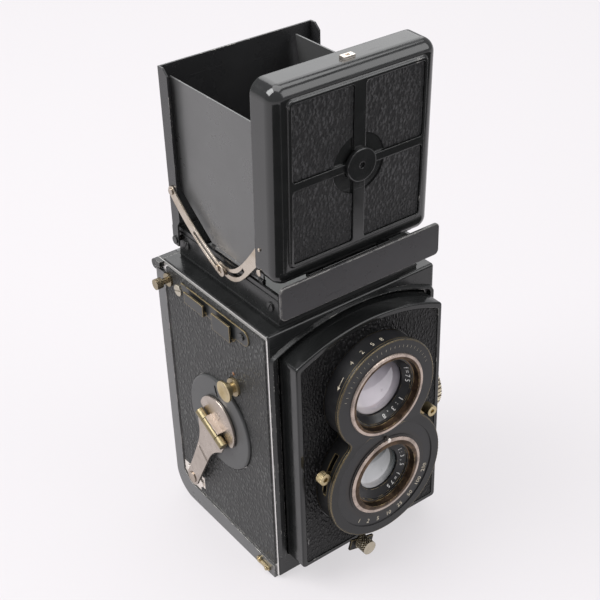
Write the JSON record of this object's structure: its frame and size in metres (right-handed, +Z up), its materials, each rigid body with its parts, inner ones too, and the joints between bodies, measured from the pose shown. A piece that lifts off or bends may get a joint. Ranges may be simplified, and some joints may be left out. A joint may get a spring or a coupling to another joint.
{
  "type": "twin lens reflex camera",
  "caption": "Box-shaped twin lens reflex camera with open viewing hood, folded winding crank, sliding front standard and hinged back.",
  "frame": {"origin": "mouth of the tripod socket, in the middle of the camera's underside", "axes": "+Z up, lenses look along -Y, winding crank on -X, focusing knob on +X"},
  "size_m": [0.0894, 0.0917, 0.2046],
  "materials": {
    "black_enamel": "gloss, worn at the edges",
    "housing_enamel": "satin, worn at the edges",
    "black_casting": "matt blackened",
    "leather": "pebbled",
    "nickel": "polished, slightly tarnished",
    "brass": "worn and dulled",
    "steel": "satin",
    "handle_black": "satin",
    "glass": "polished",
    "mirror": "polished"
  },
  "bodies": {
    "case": {"body_shell": "black_enamel", "chamber_block": "black_casting", "reflex_mirror": "mirror", "focusing_screen": "glass", "front_bead": "black_enamel", "crank_side_leather": "leather", "focus_side_leather": "leather", "tripod_bush": "nickel", "crank_boss": "black_enamel", "crank_clip_plate": "nickel", "side_shoe": "black_enamel", "strap_studs": "brass", "case_screws": "steel", "hinge_pins": "steel", "focus_scale": "nickel", "hood_collar": "black_enamel", "nameplate": "black_enamel", "rear_wall": "black_enamel", "hood_rivets": "steel"},
    "crank": {"crank_base": "nickel", "crank_gear": "steel", "crank_hinge_pin": "nickel"},
    "crank_arm": {"crank_arm": "nickel"},
    "crank_handle": {"crank_handle": "handle_black"},
    "takeup": {"takeup_spool": "handle_black", "takeup_gear": "brass"},
    "supply": {"supply_spool": "handle_black"},
    "roller": {"film_roller": "steel"},
    "takeup_knob": {"takeup_spool_knob": "nickel"},
    "supply_knob": {"supply_spool_knob": "nickel"},
    "button": {"counter_button": "nickel"},
    "standard": {"front_pan": "black_enamel", "front_leather": "leather", "lens_housing": "housing_enamel", "viewing_lens_ring": "nickel", "viewing_lens_glass": "glass", "taking_lens_ring": "nickel", "taking_lens_glass": "glass", "shutter_blades": "steel", "shutter_case": "black_casting", "index_pin": "nickel", "focus_rack": "steel"},
    "focus_knob": {"focus_knob": "nickel"},
    "aperture_lever": {"aperture_lever": "brass"},
    "speed_lever": {"speed_lever": "brass"},
    "cocking_lever": {"cocking_lever": "brass"},
    "back": {"back_door": "black_enamel", "back_leather": "leather", "pressure_plate": "steel"},
    "back_latch": {"back_latch": "brass"},
    "left_wall": {"left_wall": "black_enamel"},
    "right_wall": {"right_wall": "black_enamel"},
    "lid": {"lid_pan": "black_enamel", "lid_leathers": "leather", "lid_boss": "black_enamel", "lid_latch": "nickel", "strut_arms": "black_enamel"},
    "links": {"strut_links": "nickel"},
    "magnifier": {"magnifier_frame": "steel", "magnifier_glass": "glass"}
  },
  "joints": [
    {"name": "crank_turn", "type": "hinge", "parent": "case", "child": "crank", "pos_m": [-0.038, -0.003, 0.058], "axis": [1, 0, 0], "range_deg": [-155, 115]},
    {"name": "takeup_turn", "type": "hinge", "parent": "case", "child": "takeup", "pos_m": [0, 0.0204, 0.084], "axis": [1, 0, 0], "range_deg": [-221, 298]},
    {"name": "crank_fold", "type": "hinge", "parent": "crank", "child": "crank_arm", "pos_m": [-0.0425, -0.00201, 0.05604], "axis": [0, 0.8926, 0.4509], "range_deg": [0, 150]},
    {"name": "handle_spin", "type": "hinge", "parent": "crank_arm", "child": "crank_handle", "pos_m": [-0.041, 0.01693, 0.01855], "axis": [1, 0, 0], "continuous": true},
    {"name": "button_press", "type": "slide", "parent": "case", "child": "button", "axis": [1, 0, 0], "range_m": [0, 0.0012], "stiffness_N_per_m": 400},
    {"name": "focus_slide", "type": "slide", "parent": "case", "child": "standard", "axis": [0, -1, 0], "range_m": [0, 0.007]},
    {"name": "focus_turn", "type": "hinge", "parent": "case", "child": "focus_knob", "pos_m": [0.036, -0.0245, 0.053], "axis": [1, 0, 0], "range_deg": [0, 134]},
    {"name": "aperture_swing", "type": "hinge", "parent": "standard", "child": "aperture_lever", "pos_m": [0, -0.05, 0.0452], "axis": [0, 1, 0], "range_deg": [-14, 14]},
    {"name": "speed_swing", "type": "hinge", "parent": "standard", "child": "speed_lever", "pos_m": [0, -0.05, 0.0452], "axis": [0, 1, 0], "range_deg": [-10, 10]},
    {"name": "cocking_swing", "type": "hinge", "parent": "standard", "child": "cocking_lever", "pos_m": [0, -0.05, 0.0452], "axis": [0, 1, 0], "range_deg": [-17, 17]},
    {"name": "back_open", "type": "hinge", "parent": "case", "child": "back", "pos_m": [0, 0.0336, 0.1116], "axis": [1, 0, 0], "range_deg": [0, 110]},
    {"name": "latch_turn", "type": "hinge", "parent": "back", "child": "back_latch", "pos_m": [-0.038, -0.0248, 0.003], "axis": [-1, 0, 0], "range_deg": [0, 35]},
    {"name": "left_wall_fold", "type": "hinge", "parent": "case", "child": "left_wall", "pos_m": [-0.03, 0, 0.1279], "axis": [0, 1, 0], "range_deg": [0, 90]},
    {"name": "right_wall_fold", "type": "hinge", "parent": "case", "child": "right_wall", "pos_m": [0.03, 0, 0.1294], "axis": [0, -1, 0], "range_deg": [-6, 84]},
    {"name": "lid_tilt", "type": "hinge", "parent": "case", "child": "lid", "pos_m": [0, -0.033, 0.1296], "axis": [-1, 0, 0], "range_deg": [0, 4]},
    {"name": "link_follow", "type": "hinge", "parent": "case", "child": "links", "pos_m": [0, 0.0266, 0.1429], "axis": [1, 0, 0], "range_deg": [0, 3.2]},
    {"name": "magnifier_swing", "type": "hinge", "parent": "lid", "child": "magnifier", "pos_m": [0, -0.03349, 0.19622], "axis": [1, 0, 0], "range_deg": [0, 90]},
    {"name": "takeup_knob_pull", "type": "slide", "parent": "case", "child": "takeup_knob", "axis": [1, 0, 0], "range_m": [0, 0.005]},
    {"name": "supply_knob_pull", "type": "slide", "parent": "case", "child": "supply_knob", "axis": [1, 0, 0], "range_m": [0, 0.005]},
    {"name": "supply_spin", "type": "hinge", "parent": "case", "child": "supply", "pos_m": [0, -0.0135, 0.0158], "axis": [1, 0, 0], "continuous": true},
    {"name": "roller_spin", "type": "hinge", "parent": "case", "child": "roller", "pos_m": [0, 0.0272, 0.0092], "axis": [1, 0, 0], "continuous": true}
  ],
  "couplings": [
    {"joint": "takeup_turn", "follows": "crank_turn", "ratio": -1.9167},
    {"joint": "focus_turn", "follows": "focus_slide", "rad_per_m": 333.33},
    {"joint": "link_follow", "follows": "lid_tilt", "ratio": 0.8}
  ]
}
